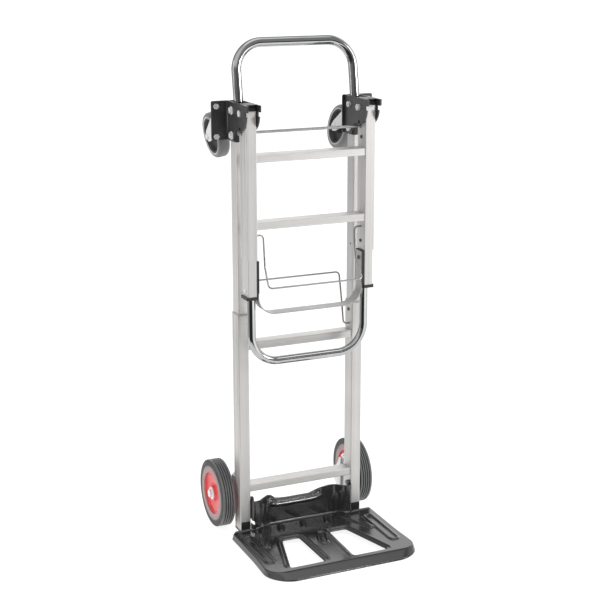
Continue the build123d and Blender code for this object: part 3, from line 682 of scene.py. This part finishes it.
def toe_drawing(edge, windows):
    """Flat triangles inside the edge and outside the windows, on a grid that is finer from the bend up."""
    loops = [edge] + windows
    end = edge[:, 1].max() + grid
    xs = np.arange(-toe_half, toe_half + grid, grid)
    pan_ts = np.arange(toe_front, end, grid)
    upright_ts = np.arange(end_bend, end, fine_grid)
    ts = np.concatenate([pan_ts[pan_ts < end_bend], upright_ts])
    field = np.stack(np.meshgrid(xs, ts), -1).reshape(-1, 2)
    field = field[inside(field, edge)]
    for loop in windows:
        field = field[~inside(field, loop)]
    for loop in loops:
        field = field[from_loop(field, loop) > edge_clear]
    points = np.concatenate(loops + [field])
    lines = []
    first = 0
    for loop in loops:
        lines += [(first + i, first + (i + 1) % len(loop)) for i in range(len(loop))]
        first += len(loop)
    flat, _, faces, _, _, _ = delaunay_2d_cdt([Vector(p) for p in points], lines, [], 0, 1e-6)
    flat = np.array([tuple(p) for p in flat])
    faces = np.array([face for face in faces if len(face) == 3])
    middle = flat[faces].mean(1)
    keep = inside(middle, edge)
    for loop in windows:
        keep &= ~inside(middle, loop)
    return flat, faces[keep]


def lip_rings(rim, crease, foot):
    """Rows of points on the lip, which leaves the rim, rounds the crease and slopes down to its foot."""
    level = np.full((len(rim), 1), toe_top)
    start = np.hstack([rim, level])
    corner = np.hstack([crease, level])
    base = np.hstack([foot, np.full((len(foot), 1), lip_edge)])
    leave = corner + (base - corner) * crease_share
    rings = [start]
    for share in np.linspace(0, 1, crease_count)[1:]:
        rings.append(start * (1 - share) ** 2 + 2 * corner * share * (1 - share) + leave * share**2)
    for share in np.linspace(0, 1, slope_count)[1:]:
        rings.append(leave + (base - leave) * share)
    return np.array(rings)


def ear_strips(side):
    """The ear, with a notch above the floor, and the curb under it."""
    turns = np.linspace(0, math.pi / 2, ear_bend_count)
    steps = [(ear_x + ear_bend * math.sin(a), ear_corner_y - ear_bend * math.cos(a)) for a in turns]
    straight = np.linspace(ear_corner_y, pivot_y + ear_r - ear_end, ear_long_count)
    steps += [(ear_out, y) for y in straight[1:]]
    share = (upright_rows() - bend_top) / (crest(ear_x) - bend_top)
    ear = []
    curb = []
    for x, y in steps:
        low = on_line(y, ear_low_line)
        high = crest(ear_x) + np.interp(y, (ear_corner_y, pivot_y), (0.0, ear_rise))
        if y > pivot_y:
            high = min(high, pivot_z + math.sqrt(ear_r**2 - (y - pivot_y) ** 2))
        ear.append([(side * x, y, z) for z in low + share * (high - low)])
        if y < ear_corner_y + curb_long:
            curb.append([(side * x, y, z) for z in np.linspace(curb_low, curb_top, curb_count)])
    return np.array(ear), np.array(curb)


def face_up(work):
    """Turns the sheet's faces so that the front of the pan looks up."""
    bmesh.ops.recalc_face_normals(work, faces=work.faces)
    work.faces.ensure_lookup_table()
    pan_spot = Vector((0.0, (pan_spot_y + y_shift) * mm, toe_top * mm))
    nearest = min(work.faces, key=lambda face: (face.calc_center_median() - pan_spot).length)
    if nearest.normal.z < 0:
        bmesh.ops.reverse_faces(work, faces=work.faces)


def toe_mesh(name):
    """The folded sheet, the lip, the ears and the curbs, joined where they meet."""
    crease_lines = (toe_half - side_run, toe_front + front_run, toe_back - side_run)
    rim_lines = (crease_lines[0] - crease_in, crease_lines[1] + crease_in, crease_lines[2] - crease_in)
    rim = pan_outline(*rim_lines, *(r - crease_in for r in crease_rounds))
    crease = pan_outline(*crease_lines, *crease_rounds)
    foot = pan_outline(toe_half, toe_front, toe_back, *foot_rounds)
    windows = [window_loop(-1), window_loop(1)]
    flat, faces = toe_drawing(toe_edge(rim), windows)
    x, t = flat.T
    verts = [fold(x, t, pressed_height(x, t, windows))]
    polygons = faces.tolist()
    count = len(flat)
    for strip in (lip_rings(rim, crease, foot), *ear_strips(-1), *ear_strips(1)):
        polygons += grid_faces(strip.shape[0], strip.shape[1], count)
        verts.append(strip.reshape(-1, 3))
        count += strip.shape[0] * strip.shape[1]
    verts = np.concatenate(verts)
    verts[:, 1] += y_shift
    mesh = bpy.data.meshes.new(name)
    mesh.from_pydata((verts * mm).tolist(), [], polygons)
    work = bmesh.new()
    work.from_mesh(mesh)
    bmesh.ops.remove_doubles(work, verts=work.verts, dist=join_gap * mm)
    face_up(work)
    work.to_mesh(mesh)
    work.free()
    mesh.shade_smooth()
    return mesh


toe_piece = add_piece(toe_mesh("toe_sheet"), "toe_plate", "toe_paint", "toe_plate")
thick = toe_piece.modifiers.new("sheet", "SOLIDIFY")
thick.thickness = toe_sheet * mm
thick.offset = -1.0

# Chromed tubes, swept smooth: the top handle leans back, and the push loop hangs straight
grip_r = 11.0
grip_wall = 1.5
(_, _, grip_low), (grip_side, _, grip_peak) = box_mm("top_handle")
grip_x = grip_side - grip_r
grip_top = grip_peak - grip_r
grip_bend = 1014.0
grip_corner = 60.5
grip_lean = math.radians(9.0)
grip_y = 18.0
grip_back = grip_y + (grip_top - grip_bend) * math.tan(grip_lean)
push_r = 9.5
push_wall = 1.4
(_, _, push_base), (push_side, _, _) = box_mm("push_loop")
push_x = push_side - push_r
push_y = np.mean(box_mm("push_loop"), 0)[1]
push_low = push_base + push_r
push_top = box_mm("push_tube_right")[0][2]
push_corner = 65.0


def rounded(corners, radius, count=28):
    """Path through the corners with the inner ones rounded."""
    path = [Vector(corners[0])]
    for before, corner, after in zip(corners, corners[1:], corners[2:]):
        corner = Vector(corner)
        back = (Vector(before) - corner).normalized()
        ahead = (Vector(after) - corner).normalized()
        half = back.angle(ahead) / 2
        reach = radius / math.tan(half)
        centre = corner + (back + ahead).normalized() * (radius / math.sin(half))
        start = (corner + back * reach - centre).normalized()
        end = (corner + ahead * reach - centre).normalized()
        path += [centre + start.slerp(end, i / count) * radius for i in range(count + 1)]
    return path + [Vector(corners[-1])]


def tube_mesh(name, path, radius, wall, around=40):
    """Round tube along a path, open at both ends as far in as shows."""
    steps = [(b - a).normalized() for a, b in zip(path, path[1:])]
    ways = [steps[0]] + [(a + b).normalized() for a, b in zip(steps, steps[1:])] + [steps[-1]]
    side = ways[0].orthogonal().normalized()
    rings = []
    for place, way in zip(path, ways):
        side = (side - way * side.dot(way)).normalized()
        rings.append((place, side, way.cross(side), radius))
    inner = radius - wall
    depth = wall * 6
    first_axes = rings[0][1:3]
    last_axes = rings[-1][1:3]
    rings.insert(0, (path[0], *first_axes, inner))
    rings.insert(0, (path[0] + ways[0] * depth, *first_axes, inner))
    rings.append((path[-1], *last_axes, inner))
    rings.append((path[-1] - ways[-1] * depth, *last_axes, inner))
    verts = []
    for place, u, v, r in rings:
        for turn in np.linspace(0, 2 * math.pi, around, endpoint=False):
            point = place + (u * math.cos(turn) + v * math.sin(turn)) * r
            verts.append((point.x * mm, (point.y + y_shift) * mm, point.z * mm))
    faces = []
    for ring in range(len(rings) - 1):
        for i in range(around):
            a = ring * around + i
            b = ring * around + (i + 1) % around
            faces.append((a, b, b + around, a + around))
    mesh = bpy.data.meshes.new(name)
    mesh.from_pydata(verts, [], faces)
    mesh.shade_smooth()
    mesh.set_sharp_from_angle(angle=math.radians(50))
    return mesh


grip_corners = [
    (-grip_x, grip_y, grip_bend),
    (-grip_x, grip_back, grip_top),
    (grip_x, grip_back, grip_top),
    (grip_x, grip_y, grip_bend),
]
grip_ends = [Vector((side * grip_x, grip_y, grip_low)) for side in (-1, 1)]
grip_path = [grip_ends[0]] + rounded(grip_corners, grip_corner) + [grip_ends[1]]
grip_mesh = tube_mesh("grip_tube", grip_path, grip_r, grip_wall)
add_piece(grip_mesh, "upper_frame", "chrome", "top_handle")

push_corners = [
    (-push_x, push_y, push_top),
    (-push_x, push_y, push_low),
    (push_x, push_y, push_low),
    (push_x, push_y, push_top),
]
push_mesh = tube_mesh("loop_tube", rounded(push_corners, push_corner), push_r, push_wall)
add_piece(push_mesh, "push_handle", "chrome", "push_loop")

# Wheel arms: a folded channel with tapered cheeks, given as Y and height, and the barrel on its hinge pin
(arm_in, _, arm_low), (arm_out, _, arm_top) = box_mm("wheel_arm_right")
arm_sheet = 2.5
web_y = 60.0
cheek_front = 54.0
barrel_x = (arm_in + arm_out) / 2
barrel_y = np.mean(box_mm("wheel_hinge_pins"), 0)[1]
barrel_r = 8.0
barrel_count = 32
cheek_outline = (
    (cheek_front, arm_top),
    (63.0, arm_top),
    (66.0, 121.0),
    (71.0, 112.0),
    (80.0, 103.0),
    (96.0, 97.0),
    (101.0, 90.0),
    (100.0, 72.0),
    (72.0, 50.6),
    (web_y, arm_low),
    (cheek_front, arm_low),
)
web_outline = (
    (web_y, arm_low),
    (web_y + arm_sheet, arm_low),
    (web_y + arm_sheet, arm_top),
    (web_y, arm_top),
)


def arm_mesh(name, side):
    """Two cheeks, a web and the barrel, each a prism between two rings of points."""
    turns = np.linspace(0, 2 * math.pi, barrel_count, endpoint=False)
    barrel = [(barrel_x + barrel_r * math.cos(a), barrel_y + barrel_r * math.sin(a)) for a in turns]
    prisms = [[[(x, y, z) for y, z in cheek_outline] for x in (arm_in, arm_in + arm_sheet)]]
    prisms.append([[(x, y, z) for y, z in cheek_outline] for x in (arm_out - arm_sheet, arm_out)])
    prisms.append([[(x, y, z) for y, z in web_outline] for x in (arm_in, arm_out)])
    prisms.append([[(x, y, z) for x, y in barrel] for z in (arm_low, arm_top)])
    verts = []
    faces = []
    for rings in prisms:
        first = len(verts)
        count = len(rings[0])
        for ring in rings:
            verts += [(side * x * mm, (y + y_shift) * mm, z * mm) for x, y, z in ring]
        faces.append(tuple(range(first + count - 1, first - 1, -1)))
        faces.append(tuple(range(first + count, first + 2 * count)))
        for i in range(count):
            j = (i + 1) % count
            faces.append((first + i, first + j, first + count + j, first + count + i))
    mesh = bpy.data.meshes.new(name)
    mesh.from_pydata(verts, [], faces)
    work = bmesh.new()
    work.from_mesh(mesh)
    bmesh.ops.recalc_face_normals(work, faces=work.faces)
    work.to_mesh(mesh)
    work.free()
    mesh.shade_smooth()
    mesh.set_sharp_from_angle(angle=math.radians(35))
    return mesh


for word, side in (("left", -1), ("right", 1)):
    arm = add_piece(arm_mesh(f"arm_{word}", side), f"wheel_arm_{word}", "zinc", f"wheel_arm_{word}")
    soften(arm)

# Stage, in metres, with ways out from the object as unit vectors
toward_camera = (-0.409, -0.912, 0.0)
behind = tuple(-part for part in toward_camera)
dark_side = (-0.616, -0.788, 0.0)
dark_side_edges = (0.66, 0.80)
leftward = (-0.98, 0.199, 0.0)
right_front = (0.39, -0.92, 0.0)
patch_side = (0.407, -0.913, 0.0)
upward = (0.0, 0.0, 1.0)
overhead = (0.10, -0.10, 0.99)
left_above = (-0.77, -0.40, 0.50)
right_above = (0.93, 0.18, 0.32)
white = (1.0, 1.0, 1.0, 1.0)
floor_corners = [(-60.0, -40.0, 0.0), (60.0, -40.0, 0.0), (0.0, 80.0, 0.0)]


def floor_look():
    """Pale floor that glows, with a patch far to the front right that glows brighter as painted light. Only
    reflections and lighting see its darker parts, which stand for black cards.
    """
    m = Recipe("floor_look")
    outward = m.unit(m.place)
    far = m.length(m.place)
    rise = m.math("ADD", m.step(far, 0.3, 0.6, high=0.05), m.step(far, 1.3, 2.2, high=0.45))
    # Painted light: a patch far to the front right glows brighter, on top of the floor's even glow
    glow_patch = m.math("MULTIPLY", m.toward(outward, right_front, 0.70, 0.95), rise)
    sector = m.math("MULTIPLY", m.toward(outward, dark_side, *dark_side_edges), m.step(far, 0.8, 1.2))
    patch = m.math("MULTIPLY", m.toward(outward, patch_side, 0.965, 0.985), m.step(far, 2.6, 3.2))
    beside = m.toward(m.place, leftward, 0.95, 1.9, high=0.55)
    cards = m.math("MAXIMUM", m.math("MAXIMUM", sector, patch), beside)
    dark = m.math("MULTIPLY", cards, m.math("SUBTRACT", 1.0, m.direct()))
    glow = m.math("MULTIPLY", m.math("ADD", glow_patch, 0.86), m.step(dark, 0.0, 1.0, low=1.0, high=0.03))
    m.link(m.ramp(dark, [(0.0, (0.36, 0.36, 0.36)), (1.0, (0.02, 0.02, 0.02))]), "Base Color")
    m.link(glow, "Emission Strength")
    m.put("Emission Color", white)
    m.put("Roughness", 0.8)
    m.put("Specular IOR Level", 0.0)
    m.mat.cycles.emission_sampling = "NONE"
    return m.mat


floor_mesh = bpy.data.meshes.new("floor")
floor_mesh.from_pydata(floor_corners, [], [(0, 1, 2)])
floor_mesh.materials.append(floor_look())
floor = bpy.data.objects.new("floor", floor_mesh)
scene.collection.objects.link(floor)


def light_room(world):
    """White backdrop, ceiling and side fills, and a dim front. The camera itself sees a white room."""
    room = Graph(world.node_tree, "Generated")
    way = room.place
    backdrop = room.toward(way, behind, 0.55, 0.95, low=0.34, high=1.6)
    ceiling = room.toward(way, overhead, 0.86, 0.98)
    left_fill = room.toward(way, left_above, 0.55, 0.92, high=0.6)
    right_fill = room.toward(way, right_above, 0.75, 0.95, high=0.6)
    fills = room.math("ADD", ceiling, room.math("ADD", left_fill, right_fill))
    front = room.toward(way, toward_camera, 0.0, 0.3)
    under = room.toward(way, upward, 0.01, 0.05, low=1.0, high=0.0)
    band = room.math("MULTIPLY", front, under)
    low_down = room.toward(way, upward, 0.15, 0.45, low=1.0, high=0.0)
    corner = room.math("MULTIPLY", room.toward(way, dark_side, *dark_side_edges), low_down)
    shade = room.step(room.math("MAXIMUM", band, corner), 0.0, 1.0, low=1.0, high=0.26)
    lighting = room.math("MULTIPLY", room.math("ADD", backdrop, fills), shade)
    background = room.tree.nodes["Background"]
    background.inputs["Color"].default_value = white
    room.tree.links.new(room.math("MAXIMUM", lighting, room.direct()), background.inputs["Strength"])


scene.world = bpy.data.worlds.new("studio")
scene.world.use_nodes = True
light_room(scene.world)


def place_light(data, place, aim):
    lamp = bpy.data.objects.new(data.name, data)
    scene.collection.objects.link(lamp)
    lamp.location = place
    lamp.rotation_mode = "QUATERNION"
    lamp.rotation_quaternion = (Vector(aim) - Vector(place)).to_track_quat("-Z", "Y")


def area_light(name, place, aim, size, power):
    data = bpy.data.lights.new(name, "AREA")
    data.shape = "RECTANGLE"
    data.size, data.size_y = size
    data.energy = power
    place_light(data, place, aim)


def spot_light(name, place, aim, radius, power, cone, blend):
    data = bpy.data.lights.new(name, "SPOT")
    data.energy = power
    data.shadow_soft_size = radius
    data.spot_size = math.radians(cone)
    data.spot_blend = blend
    place_light(data, place, aim)


frame_middle = (0.0, 0.0, 0.5)
upper_middle = (0.0, 0.0, 1.0)
handle_middle = (0.0, 0.0, 1.1)
toe_middle = (0.0, -0.07, 0.05)
tube_y = 0.03 + y_shift * mm
left_tube = (-0.15, tube_y, 0.8)
left_of_tube = (-2.0, tube_y, 0.8)
area_light("key", (2.6, -1.9, 2.0), frame_middle, size=(1.2, 1.2), power=12.0)
area_light("left_strip", (-2.3, 0.75, 1.3), handle_middle, size=(0.5, 1.8), power=4.0)
area_light("right_strip", (1.95, -1.75, 1.2), handle_middle, size=(0.6, 2.0), power=5.0)
spot_light("toe_front", (0.6, -1.4, 0.95), toe_middle, radius=0.12, power=16.0, cone=20.0, blend=0.5)
spot_light("toe_top", (0.93, -0.83, 2.2), toe_middle, radius=0.4, power=9.0, cone=20.0, blend=0.5)
spot_light("upper_front", (2.0, -1.8, 1.35), upper_middle, radius=0.4, power=110.0, cone=27.0, blend=0.8)
spot_light("left_side", left_of_tube, left_tube, radius=0.06, power=40.0, cone=20.0, blend=0.6)

# Camera
camera_down = 15.2013
camera_turn = -24.1604
camera_data = bpy.data.cameras.new("camera")
camera_data.sensor_width = 36.0
camera_data.lens = 80.16
camera = bpy.data.objects.new("camera", camera_data)
scene.collection.objects.link(camera)
camera.location = (-1.22434, -2.76748 + y_shift * mm, 1.35847)
camera.rotation_euler = (math.radians(90.0 - camera_down), 0.0, math.radians(camera_turn))
scene.camera = camera
scene.view_settings.view_transform = "Standard"
